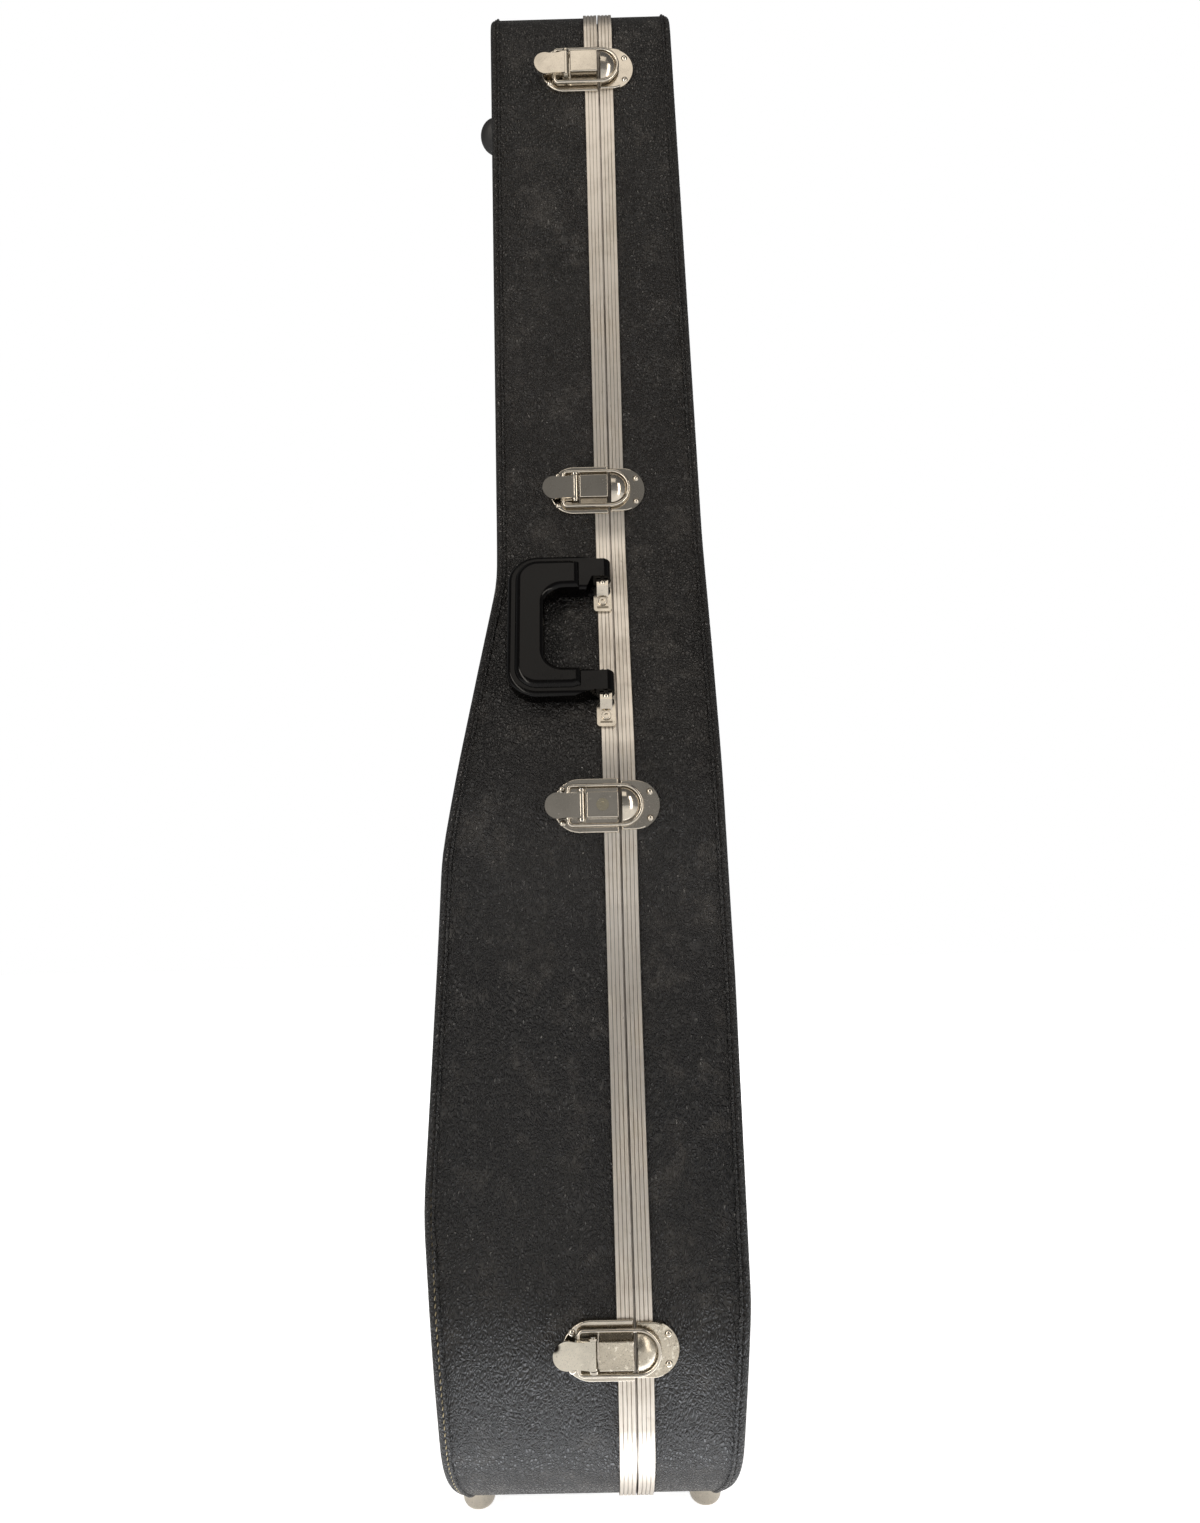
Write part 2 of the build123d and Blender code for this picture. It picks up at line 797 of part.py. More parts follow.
# One leaf of a hinge, following the case, with its own knuckles
def hinge_leaf(place, side):
    third = hinge_length / 3
    near, far = sorted((side * leaf_start, side * leaf_reach))
    leaf = block(near, far, -hinge_length / 2, hinge_length / 2, -8, 8)
    upright = leaf.edges().filter_by(Axis.Z).sort_by(Axis.X)
    leaf = fillet(upright[:2] if side < 0 else upright[-2:], 3)
    leaf = place * leaf
    leaf &= outline_slab(trim_proud + leaf_thick, -40, 40)
    middles = (-third, third) if side < 0 else (0.0,)
    knuckles = []
    for middle in middles:
        length = third - 0.3
        low, high = sorted((0.0, side * (leaf_start + 1.0)))
        web = block(low, high, middle - length / 2, middle + length / 2, -8, trim_proud + leaf_thick)
        low, high = sorted((0.0, side * (leaf_start - 0.1)))
        web += block(low, high, middle - length / 2, middle + length / 2, -8, knuckle_up)
        knuckles.append(web + cross_bar(knuckle_radius, length, 0, knuckle_up, middle))
    for knuckle in knuckles:
        leaf += place * knuckle
    leaf -= place * cross_bar(hinge_pin_radius + running_gap, 90, 0, knuckle_up)
    return bedded(leaf)


def hinge_pin(place):
    pin = cross_bar(hinge_pin_radius, hinge_length, 0, knuckle_up)
    for way in (1, -1):
        pin += cross_bar(2.2, 0.9, 0, knuckle_up, way * (hinge_length / 2 + 0.45))
    return place * pin


# Three rivets through one leaf
def leaf_rivets(place, side):
    heads = []
    for y in (-15.0, 0.0, 15.0):
        sink = y * y / (2 * upper_bout_radius)
        head = place * domed_head(2.2, 2.4, side * 15.5, y, 1.4 - sink)
        heads.append(head - outline_slab(trim_proud + leaf_thick, -40, 40))
    return heads


# Block across the neck channel, with a rounded notch for the neck
def neck_cradle():
    inside = half_solid(-1, wall + lining + 2 * fit_gap, -cradle_rim_x)
    cradle = inside & block(-200, 0, -200, 200, cradle_low, cradle_high)
    notch = block(notch_floor_x, 10, -notch_half, notch_half, cradle_low - 1, cradle_high + 1)
    floor = [e for e in notch.edges().filter_by(Axis.Z) if e.center().X < -20]
    return cradle - fillet(floor, 16)


# Tray of the accessory box, with two lugs for its flap
def accessory_tray():
    tray = block(tray_floor_x, box_rim_x, -tray_half, tray_half, box_low, box_high)
    tray -= block(
        tray_floor_x + tray_floor,
        box_rim_x + 1,
        -tray_half + tray_side,
        tray_half - tray_side,
        box_low + partition,
        box_high - partition,
    )
    for way in (1, -1):
        low, high = sorted((way * (flap_half + fit_gap), way * tray_half))
        lug = block(box_rim_x - 1, flap_axis_x + 2.2, low, high, flap_axis_up - 3, box_high)
        tray += lug
    return tray - cross_bar(flap_pin_radius, 4 * tray_half, flap_axis_x, flap_axis_up)


# Flap of the accessory box, rounded where it turns
def accessory_flap():
    low_x = flap_axis_x - flap_thick / 2
    flap = block(low_x, low_x + flap_thick, -flap_half, flap_half, box_low + 0.6, flap_axis_up)
    flap += cross_bar(flap_thick / 2, 2 * flap_half, flap_axis_x, flap_axis_up)
    return flap - cross_bar(flap_pin_radius + running_gap, 4 * tray_half, flap_axis_x, flap_axis_up)


# Pull tab sewn on the flap
def flap_tab():
    low_x = flap_axis_x + flap_thick / 2
    tab = block(low_x, low_x + 0.9, -8, 8, box_low - 7, box_low + 13)
    return fillet(tab.edges().filter_by(Axis.X), 3)


# Two short pins that the flap turns on
def flap_pins():
    middle = tray_half - 3.5
    return [
        cross_bar(flap_pin_radius, 7.0, flap_axis_x, flap_axis_up, way * middle) for way in (1, -1)
    ]


skin_bed = outline_slab(0, -140, 140)
trim_bed = outline_slab(trim_proud, -rim_gap / 2 - trim_width, rim_gap / 2 + trim_width)


nodes = {}


# Keep one node, as one solid or as a group of separate solids
def keep(name, shape):
    nodes[name] = Compound(children=list(shape)) if isinstance(shape, list) else shape


deep_skin = shell_skin(-1)
lid_skin = shell_skin(1)
deep_panel, deep_wall = shell_parts(-1, deep_skin)
lid_panel, lid_wall = shell_parts(1, lid_skin)
keep("deep_panel", deep_panel)
keep("deep_wall", deep_wall)
keep("lid_panel", lid_panel)
keep("lid_wall", lid_wall)
keep("deep_seam_bead", seam_bead(-1))
keep("lid_seam_bead", seam_bead(1))
keep("deep_trim", deep_trim())
keep("lid_trim", lid_trim())
keep("deep_lining", padding(-1))
keep("lid_lining", padding(1))

pins = []
lugs = []
deep_rivets = []
lid_rivets = []
for number, up in enumerate(latch_heights):
    place = latch_side_plane(up)
    tag = str(number + 1)
    keep("latch_plate_" + tag, latch_plate(place))
    keep("latch_box_" + tag, latch_box(place, number == locked_latch))
    keep("latch_lever_" + tag, latch_lever(place))
    keep("latch_bail_" + tag, latch_bail(place))
    keep("latch_keeper_" + tag, latch_keeper(place))
    lugs += latch_lugs(place)
    pins.append(lever_pin(place))
    deep_rivets += plate_rivets(place)
    lid_rivets += keeper_rivets(place)
keep("latch_lugs", lugs)
keep("lever_pins", pins)
keep("latch_rivets_deep", deep_rivets)
keep("latch_rivets_lid", lid_rivets)
keep("lock_plug", lock_plug(latch_side_plane(latch_heights[locked_latch])))

handle_place = latch_side_plane(handle_height)
half_spacing = ring_spacing / 2
keep("carrying_handle", carrying_handle(handle_place))
keep("handle_bracket_upper", handle_bracket(handle_place, half_spacing))
keep("handle_bracket_lower", handle_bracket(handle_place, -half_spacing))
keep("handle_strap_rivets", [strap_rivet(handle_place, m) for m in (half_spacing, -half_spacing)])
keep("handle_plate_rivets", [strap_screw(handle_place, m) for m in (half_spacing, -half_spacing)])

keep("tail_glides_deep", [tail_glide(glide_deep_x, y) for y in (-glide_spread, glide_spread)])
keep("tail_glides_lid", [tail_glide(glide_lid_x, y) for y in (-glide_spread, glide_spread)])
feet = [(w * foot_head_spread, foot_head_up) for w in (-1, 1)]
feet += [(w * foot_tail_spread, foot_tail_up) for w in (-1, 1)]
keep("back_feet", [back_foot(y, up, deep_skin) for y, up in feet])

hinge_rivets_deep = []
hinge_rivets_lid = []
hinge_pins = []
for number, end in enumerate(spine_ends):
    place = spine_plane(end)
    tag = str(number + 1)
    keep("hinge_leaf_deep_" + tag, hinge_leaf(place, -1))
    keep("hinge_leaf_lid_" + tag, hinge_leaf(place, 1))
    hinge_pins.append(hinge_pin(place))
    hinge_rivets_deep += leaf_rivets(place, -1)
    hinge_rivets_lid += leaf_rivets(place, 1)
keep("hinge_pins", hinge_pins)
keep("hinge_rivets_deep", hinge_rivets_deep)
keep("hinge_rivets_lid", hinge_rivets_lid)

keep("neck_cradle", neck_cradle())
keep("accessory_tray", accessory_tray())
keep("accessory_flap", accessory_flap())
keep("flap_tab", flap_tab())
keep("flap_pins", flap_pins())

# The origin goes to the middle of the whole case, at the floor
bounds = [shape.bounding_box() for shape in nodes.values()]
middle_x = (min(b.min.X for b in bounds) + max(b.max.X for b in bounds)) / 2
middle_y = (min(b.min.Y for b in bounds) + max(b.max.Y for b in bounds)) / 2
for name, shape in nodes.items():
    placed = Pos(-middle_x, -middle_y, 0) * shape
    placed.label = name
    export_step(placed, "parts/" + name + ".step")
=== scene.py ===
import math
import random

import bmesh
import bpy
from mathutils import Matrix, Vector, noise


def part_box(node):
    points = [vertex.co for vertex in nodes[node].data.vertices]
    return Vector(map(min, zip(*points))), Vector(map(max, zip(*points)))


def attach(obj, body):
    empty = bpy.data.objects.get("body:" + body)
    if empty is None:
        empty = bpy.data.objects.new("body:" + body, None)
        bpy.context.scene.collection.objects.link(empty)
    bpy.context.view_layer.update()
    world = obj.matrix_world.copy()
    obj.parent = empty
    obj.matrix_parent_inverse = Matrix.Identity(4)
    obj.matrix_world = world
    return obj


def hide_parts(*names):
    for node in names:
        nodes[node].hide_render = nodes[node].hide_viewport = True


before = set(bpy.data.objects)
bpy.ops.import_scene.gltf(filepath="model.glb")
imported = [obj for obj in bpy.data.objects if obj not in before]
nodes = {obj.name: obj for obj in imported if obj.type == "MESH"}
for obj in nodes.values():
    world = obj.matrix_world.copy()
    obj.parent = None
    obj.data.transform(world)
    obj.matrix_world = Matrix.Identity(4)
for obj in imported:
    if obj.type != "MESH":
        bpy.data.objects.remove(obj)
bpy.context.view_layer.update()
scene = bpy.context.scene
random.seed(7)

# Half the gap between the two trims, and where the split plane and the middle of the case lie
HALF_RIM_GAP = 0.0005
trim_low, trim_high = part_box("lid_trim")
SPLIT_X = trim_low[0] - HALF_RIM_GAP
MIDDLE_Y = (trim_low[1] + trim_high[1]) / 2


# Camera, fitted to the photo: its turn in degrees, its place from the split plane and the middle of the
# case, and, in pixels, its focal length, its optical centre and the photo's size
CAMERA_TURN = (-0.394, 3.688, -1.294)
CAMERA_PLACE = (SPLIT_X - 0.0185, MIDDLE_Y - 0.7558, 0.3717)
FOCAL_LENGTH = 1000
OPTICAL_CENTRE = (583.2, 843)
PHOTO_SIZE = (1200, 1523)
SENSOR_HEIGHT = 36


def make_camera():
    """Camera at the photo's place and angle."""
    yaw, pitch, roll = (math.radians(a) for a in CAMERA_TURN)
    forward = Vector((math.sin(yaw) * math.cos(pitch), math.cos(yaw) * math.cos(pitch), math.sin(pitch)))
    right = Vector((math.cos(yaw), -math.sin(yaw), 0))
    up = right.cross(forward)
    right, up = (
        math.cos(roll) * right + math.sin(roll) * up,
        -math.sin(roll) * right + math.cos(roll) * up,
    )
    data = bpy.data.cameras.new("photo_camera")
    data.sensor_fit = "VERTICAL"
    data.sensor_height = SENSOR_HEIGHT
    data.lens = FOCAL_LENGTH / PHOTO_SIZE[1] * SENSOR_HEIGHT
    data.shift_x = (PHOTO_SIZE[0] / 2 - OPTICAL_CENTRE[0]) / PHOTO_SIZE[1]
    data.shift_y = (OPTICAL_CENTRE[1] - PHOTO_SIZE[1] / 2) / PHOTO_SIZE[1]
    data.clip_start = 0.02
    cam = bpy.data.objects.new("photo_camera", data)
    axes = Matrix((right, up, -forward)).transposed().to_4x4()
    cam.matrix_world = Matrix.Translation(CAMERA_PLACE) @ axes
    scene.collection.objects.link(cam)
    scene.camera = cam


make_camera()


# Node helpers
class Tree:
    """Short way of writing a material's nodes."""

    def __init__(self, name):
        self.mat = bpy.data.materials.new(name)
        self.mat.use_nodes = True
        self.tree = self.mat.node_tree
        self.tree.nodes.clear()
        self.out = self.tree.nodes.new("ShaderNodeOutputMaterial")
        self.bsdf = self.tree.nodes.new("ShaderNodeBsdfPrincipled")
        self.link(self.bsdf.outputs[0], self.out.inputs[0])

    def link(self, a, b):
        self.tree.links.new(a, b)

    def put(self, socket, value):
        if isinstance(value, bpy.types.NodeSocket):
            self.link(value, socket)
        elif value is not None:
            socket.default_value = value

    def coords(self):
        return self.node("ShaderNodeTexCoord").outputs["Object"]

    def node(self, kind, **settings):
        n = self.tree.nodes.new(kind)
        for key, value in settings.items():
            setattr(n, key, value)
        return n

    def mapping(self, vector, scale=(1, 1, 1), rotation=(0, 0, 0), location=(0, 0, 0)):
        n = self.node("ShaderNodeMapping")
        self.put(n.inputs["Vector"], vector)
        n.inputs["Scale"].default_value = scale
        n.inputs["Rotation"].default_value = rotation
        n.inputs["Location"].default_value = location
        return n.outputs[0]

    def noise(self, vector, scale, detail=2.0, rough=0.5, distortion=0.0):
        n = self.node("ShaderNodeTexNoise")
        self.put(n.inputs["Vector"], vector)
        n.inputs["Scale"].default_value = scale
        n.inputs["Detail"].default_value = detail
        n.inputs["Roughness"].default_value = rough
        n.inputs["Distortion"].default_value = distortion
        return n

    def voronoi(self, vector, scale, feature="DISTANCE_TO_EDGE", randomness=1.0):
        n = self.node("ShaderNodeTexVoronoi", feature=feature)
        self.put(n.inputs["Vector"], vector)
        n.inputs["Scale"].default_value = scale
        n.inputs["Randomness"].default_value = randomness
        return n

    def ramp(self, value, low, high, out_low=0.0, out_high=1.0, kind="SMOOTHSTEP"):
        n = self.node("ShaderNodeMapRange", interpolation_type=kind)
        self.put(n.inputs["Value"], value)
        n.inputs["From Min"].default_value = low
        n.inputs["From Max"].default_value = high
        n.inputs["To Min"].default_value = out_low
        n.inputs["To Max"].default_value = out_high
        return n.outputs[0]

    def math(self, operation, a, b=None, c=None):
        n = self.node("ShaderNodeMath", operation=operation)
        for socket, value in zip(n.inputs, (a, b, c)):
            self.put(socket, value)
        return n.outputs[0]

    def mix(self, factor, a, b):
        n = self.node("ShaderNodeMix", data_type="RGBA")
        self.put(n.inputs[0], factor)
        self.put(n.inputs[6], a if isinstance(a, bpy.types.NodeSocket) else (*a, 1.0))
        self.put(n.inputs[7], b if isinstance(b, bpy.types.NodeSocket) else (*b, 1.0))
        return n.outputs[2]

    def shift(self, vector, by, amount):
        n = self.node("ShaderNodeVectorMath", operation="MULTIPLY_ADD")
        self.put(n.inputs[0], by)
        n.inputs[1].default_value = (amount, amount, amount)
        self.put(n.inputs[2], vector)
        return n.outputs[0]

    def split(self, vector):
        n = self.node("ShaderNodeSeparateXYZ")
        self.put(n.inputs[0], vector)
        return n.outputs

    def bump(self, height, strength, distance, normal=None):
        n = self.node("ShaderNodeBump")
        n.inputs["Strength"].default_value = strength
        n.inputs["Distance"].default_value = distance
        self.put(n.inputs["Height"], height)
        self.put(n.inputs["Normal"], normal)
        return n.outputs[0]

    def near(self, coords, point, reach):
        """1 near a point, fading to 0 at reach."""
        n = self.node("ShaderNodeVectorMath", operation="DISTANCE")
        self.put(n.inputs[0], coords)
        n.inputs[1].default_value = point
        return self.ramp(n.outputs["Value"], reach * 0.45, reach, 1.0, 0.0)

    def set(self, **values):
        for key, value in values.items():
            self.put(self.bsdf.inputs[key.replace("_", " ")], value)


# Materials
GRAIN_SCALE = 600
GRAIN_DEPTH = 0.00085
SCUFF_REACH = 0.011
SCUFF_PLACE = (SPLIT_X - 0.085, MIDDLE_Y - 0.106, 0.584)


def leatherette(name, turn=0.0, dull=0.0):
    """Black pebbled covering: drawn-out grains between creases, with scuffs; painted shade in the
    creases, and a painted lamp tint, bluish low down and warm higher up.
    """
    t = Tree(name)
    c = t.coords()
    wander = t.noise(c, 26, 2.0).outputs["Color"]
    c2 = t.shift(c, wander, 0.016)
    curl = t.noise(c, 110, 1.0).outputs["Color"]
    c3 = t.shift(c2, curl, 0.0042)
    drawn = t.mapping(c3, scale=(1.0, 0.72, 0.60), rotation=(0.5, turn, 0.3))
    cells = t.voronoi(drawn, GRAIN_SCALE).outputs["Distance"]
    pebble = t.ramp(cells, 0.03, 0.26)
    fold = t.mapping(c3, scale=(0.8, 1.0, 0.7), rotation=(0.1, turn, 0.9))
    crease = t.ramp(t.voronoi(fold, GRAIN_SCALE * 0.42).outputs["Distance"], 0.0, 0.10)
    skin = t.noise(c, 2600, 2.0).outputs["Fac"]
    height = t.math("MULTIPLY_ADD", crease, 0.45, t.math("MULTIPLY_ADD", skin, 0.10, pebble))
    patches = t.noise(c, 9, 4.0, 0.6).outputs["Fac"]
    patch = t.ramp(patches, 0.35, 0.68)
    # painted light: the grain's colour goes from bluish low down to warm higher up, the tint of the light
    # that falls there
    painted_lamp_tint = t.ramp(t.split(c)[2], 0.15, 0.75)
    tops = t.mix(painted_lamp_tint, (0.0075, 0.0077, 0.0095), (0.0125, 0.0098, 0.0085))
    # painted shade: the creases between the grains are coloured near black
    low = t.mix(painted_lamp_tint, (0.0006, 0.0006, 0.0009), (0.0010, 0.0007, 0.0005))
    colour = t.mix(pebble, low, tops)
    colour = t.mix(t.math("MULTIPLY", patch, 0.30), colour, (0.0155, 0.0135, 0.0125))
    chips = t.noise(c, 620, 2.0, 0.7).outputs["Fac"]
    chip = t.ramp(chips, 0.50, 0.57)
    mark = t.math("MULTIPLY", chip, t.near(c, SCUFF_PLACE, SCUFF_REACH))
    colour = t.mix(mark, colour, (0.50, 0.48, 0.44))
    edge = t.node("ShaderNodeNewGeometry").outputs["Pointiness"]
    rubbed = t.noise(c, 42, 4.0, 0.7).outputs["Fac"]
    worn = t.math("MULTIPLY", t.ramp(edge, 0.53, 0.6), t.ramp(rubbed, 0.5, 0.7))
    colour = t.mix(t.math("MULTIPLY", worn, 0.4), colour, (0.06, 0.055, 0.05))
    rough = t.ramp(pebble, 0.0, 1.0, 0.52 + dull, 0.19 + dull)
    rough = t.math("MULTIPLY_ADD", t.ramp(patches, 0.3, 0.75), 0.07, rough)
    t.set(Base_Color=colour, Roughness=rough, Specular_IOR_Level=0.5)
    t.put(t.bsdf.inputs["Normal"], t.bump(height, 1.0, GRAIN_DEPTH))
    return t.mat


RIB_COUNT = 4
TRIM_WIDTH = 0.0094


def aluminium(name):
    """Ribbed strip: streaks along it, darker in the grooves, dull patches."""
    t = Tree(name)
    c = t.coords()
    x = t.split(c)[0]
    streak = t.noise(t.mapping(c, scale=(3200, 22, 22)), 1.0, 3.0, 0.6).outputs["Fac"]
    fine = t.noise(t.mapping(c, scale=(5200, 90, 90)), 1.0, 2.0, 0.7).outputs["Fac"]
    patch = t.noise(c, 26, 4.0, 0.65).outputs["Fac"]
    away = t.math("SUBTRACT", t.math("ABSOLUTE", t.math("SUBTRACT", x, SPLIT_X)), HALF_RIM_GAP)
    step = t.math("DIVIDE", away, TRIM_WIDTH / RIB_COUNT)
    inside = t.math("ABSOLUTE", t.math("SUBTRACT", t.math("FRACT", step), 0.5))
    groove = t.ramp(inside, 0.36, 0.47)
    tarnish = t.ramp(t.math("MULTIPLY_ADD", patch, 0.6, t.math("MULTIPLY", streak, 0.4)), 0.42, 0.66)
    metal = t.mix(tarnish, (0.72, 0.66, 0.585), (0.50, 0.44, 0.365))
    metal = t.mix(t.ramp(fine, 0.35, 0.7, 0.0, 0.5), metal, (0.86, 0.83, 0.78))
    # the grooves are coloured darker, more in some patches than in others
    groove_darkening = t.math("MULTIPLY", groove, t.ramp(patch, 0.25, 0.6, 0.45, 0.85))
    colour = t.mix(groove_darkening, metal, (0.10, 0.078, 0.058))
    nick = t.ramp(t.noise(t.mapping(c, scale=(900, 260, 260)), 1.0, 2.0).outputs["Fac"], 0.70, 0.78)
    colour = t.mix(t.math("MULTIPLY", nick, 0.6), colour, (0.32, 0.28, 0.23))
    rough = t.math("MULTIPLY_ADD", fine, 0.22, t.ramp(tarnish, 0, 1, 0.24, 0.38))
    t.set(Base_Color=colour, Roughness=rough, Metallic=1.0)
    height = t.math("ADD", t.math("MULTIPLY", streak, 0.7), t.math("MULTIPLY", fine, 0.5))
    t.put(t.bsdf.inputs["Normal"], t.bump(height, 0.35, 0.00006))
    return t.mat


NOTCH_SHADE_REACH = 0.0036


def nickel(name, worn=0.0, tint=(0.56, 0.51, 0.435), notch_shade=None):
    """Nickel plate: smears, fine scratches and specks, more of them where worn; the last argument places
    a near-black spot of painted shade where a notch is.
    """
    t = Tree(name)
    c = t.coords()
    smear = t.noise(c, 55, 4.0, 0.6).outputs["Fac"]
    slant_a = t.mapping(c, scale=(60, 700, 1500), rotation=(0.5, 0.3, 0))
    scratch_a = t.noise(slant_a, 1.0, 2.0).outputs["Fac"]
    slant_b = t.mapping(c, scale=(1400, 500, 50), rotation=(0, 0.6, 0.3))
    scratch_b = t.noise(slant_b, 1.0, 2.0).outputs["Fac"]
    specks = t.noise(c, 1500, 2.0, 0.6).outputs["Fac"]
    spots = t.noise(c, 420, 3.0, 0.65).outputs["Fac"]
    speck = t.ramp(specks, 0.60 - 0.06 * worn, 0.70)
    spot = t.ramp(spots, 0.66 - 0.10 * worn, 0.72 - 0.08 * worn)
    dark = tuple(v * 0.42 for v in tint)
    pale = (0.80, 0.75, 0.64)
    colour = t.mix(t.ramp(smear, 0.35, 0.7, 0.0, 0.6), tint, tuple(v * 0.66 for v in tint))
    colour = t.mix(t.math("MULTIPLY", speck, 0.45 + 0.35 * worn), colour, dark)
    colour = t.mix(t.math("MULTIPLY", spot, 0.25 + 0.6 * worn), colour, pale)
    # painted shade: a near-black spot where the lever's notch is, in place of the notch's shadow
    if notch_shade:
        colour = t.mix(t.near(c, notch_shade, NOTCH_SHADE_REACH), colour, (0.012, 0.010, 0.009))
    rough = t.ramp(smear, 0.3, 0.75, 0.09 + 0.1 * worn, 0.22 + 0.14 * worn)
    rough = t.math("MULTIPLY_ADD", t.math("ADD", speck, spot), 0.12, rough)
    t.set(Base_Color=colour, Roughness=rough, Metallic=1.0)
    pitted = t.math("ADD", t.math("MULTIPLY", scratch_b, 0.4), t.math("MULTIPLY", spots, 0.8))
    height = t.math("ADD", t.math("MULTIPLY", scratch_a, 0.5), pitted)
    t.put(t.bsdf.inputs["Normal"], t.bump(height, 0.22 + 0.2 * worn, 0.00008))
    return t.mat


def moulded(name, colour, rough_low, rough_high, bump=0.1, shine=0.5):
    """Moulded plastic or rubber: slight ripple, dust and rubbed patches."""
    t = Tree(name)
    c = t.coords()
    ripple = t.noise(c, 38, 3.0, 0.5).outputs["Fac"]
    dust = t.noise(c, 900, 3.0, 0.7).outputs["Fac"]
    hair = t.noise(t.mapping(c, scale=(900, 900, 70), rotation=(0.2, 0.4, 0)), 1.0, 2.0).outputs["Fac"]
    patch = t.ramp(t.noise(c, 24, 4.0, 0.6).outputs["Fac"], 0.4, 0.72)
    shade = t.mix(t.ramp(dust, 0.62, 0.75, 0.0, 0.35), colour, tuple(v * 3 for v in colour))
    t.set(Base_Color=shade)
    rough = t.ramp(patch, 0, 1, rough_low, rough_high)
    rough = t.math("MULTIPLY_ADD", t.ramp(hair, 0.55, 0.7), 0.10, rough)
    t.set(Roughness=rough, Specular_IOR_Level=shine)
    height = t.math("ADD", t.math("MULTIPLY", ripple, 1.0), t.math("MULTIPLY", dust, 0.05))
    t.put(t.bsdf.inputs["Normal"], t.bump(height, bump, 0.0012))
    return t.mat


def plush(name, colour, scale=1.0):
    """Short pile: brushed patches, tufts and a soft sheen."""
    t = Tree(name)
    c = t.coords()
    brushed = t.noise(c, 16, 3.0, 0.55, 0.6).outputs["Fac"]
    tuft = t.noise(t.mapping(c, scale=(1, 1, 0.6)), 1100 * scale, 2.0, 0.7).outputs["Fac"]
    pile = t.voronoi(c, 1500 * scale, feature="F1").outputs["Distance"]
    light = tuple(min(1.0, v * 1.9 + 0.01) for v in colour)
    deep = tuple(v * 0.45 for v in colour)
    shade = t.mix(t.ramp(brushed, 0.38, 0.62), colour, light)
    shade = t.mix(t.ramp(tuft, 0.35, 0.62, 0.6, 0.0), shade, deep)
    t.set(Base_Color=shade, Roughness=0.95, Specular_IOR_Level=0.15)
    t.set(Sheen_Weight=0.6, Sheen_Roughness=0.45)
    t.bsdf.inputs["Sheen Tint"].default_value = (*light, 1)
    height = t.math("SUBTRACT", t.math("MULTIPLY", tuft, 1.2), t.math("MULTIPLY", pile, 0.7))
    t.put(t.bsdf.inputs["Normal"], t.bump(height, 0.8, 0.0009))
    return t.mat


def thread(name, colour):
    """Twisted thread: cream by the tail and near black higher up."""
    t = Tree(name)
    c = t.coords()
    slant = t.mapping(c, scale=(2600, 2600, 2600), rotation=(0.6, 0.6, 0))
    twist = t.noise(slant, 1.0, 2.0).outputs["Fac"]
    grime = t.noise(c, 70, 3.0).outputs["Fac"]
    shade = t.mix(t.ramp(twist, 0.35, 0.65), tuple(v * 0.55 for v in colour), colour)
    shade = t.mix(t.ramp(grime, 0.45, 0.7, 0.0, 0.6), shade, tuple(v * 0.35 for v in colour))
    # the thread keeps its colour up to about 0.13 m of height and is near black above about 0.27 m
    cream_low_down = t.ramp(t.math("MULTIPLY_ADD", grime, 0.08, t.split(c)[2]), 0.13, 0.27, 1.0, 0.0)
    shade = t.mix(cream_low_down, (0.012, 0.010, 0.009), shade)
    t.set(Base_Color=shade, Roughness=0.8, Specular_IOR_Level=0.3)
    t.put(t.bsdf.inputs["Normal"], t.bump(twist, 0.5, 0.0002))
    return t.mat


def webbing(name, colour):
    """Plain weave."""
    t = Tree(name)
    c = t.coords()
    y, z = t.split(c)[1:3]
    warp = t.math("ABSOLUTE", t.math("SINE", t.math("MULTIPLY", y, 5200)))
    weft = t.math("ABSOLUTE", t.math("SINE", t.math("MULTIPLY", z, 4200)))
    weave = t.math("MULTIPLY", warp, weft)
    shade = t.mix(weave, tuple(v * 0.4 for v in colour), tuple(v * 1.5 for v in colour))
    t.set(Base_Color=shade, Roughness=0.85, Specular_IOR_Level=0.2)
    t.put(t.bsdf.inputs["Normal"], t.bump(weave, 0.6, 0.0003))
    return t.mat


SKIN = leatherette("black_leatherette", 0.5)
SKIN_PANEL = leatherette("black_leatherette_panel", 1.1, 0.04)
BEAD = leatherette("black_edge_piping", 0.2, -0.08)
TRIM = aluminium("ribbed_aluminium")
NICKEL = nickel("nickel_plate")
NICKEL_WORN = nickel("nickel_plate_worn", 0.9, (0.52, 0.47, 0.385))
# Painted shade: a near-black spot at the finger end of the lowest lever stands in for the shade in its
# notch
lever_low, lever_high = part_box("latch_lever_1")
NOTCH_SHADE_AT = (lever_low[0] + 0.0012, lever_low[1] + 0.0010, (lever_low[2] + lever_high[2]) / 2 + 0.0048)
NICKEL_NOTCH_SHADED = nickel("nickel_plate_notch_shaded", 0.3, (0.58, 0.54, 0.46), NOTCH_SHADE_AT)
PIN = nickel("bright_pin", 0.1, (0.62, 0.61, 0.58))
GRIP = moulded("glossy_black_moulding", (0.0012, 0.0009, 0.0009), 0.12, 0.22, 0.06, 0.16)
RUBBER = moulded("black_rubber", (0.011, 0.0105, 0.0105), 0.48, 0.62, 0.25)
PLUSH = plush("wine_plush", (0.085, 0.010, 0.018))
PLUSH_PAD = plush("wine_plush_pad", (0.095, 0.012, 0.021), 0.8)
STITCH = thread("cream_thread", (0.66, 0.56, 0.36))
STITCH_DARK = thread("black_thread", (0.014, 0.012, 0.011))
TAPE = webbing("black_webbing", (0.03, 0.028, 0.028))
LOCK = nickel("lock_brass", 0.4, (0.62, 0.55, 0.40))

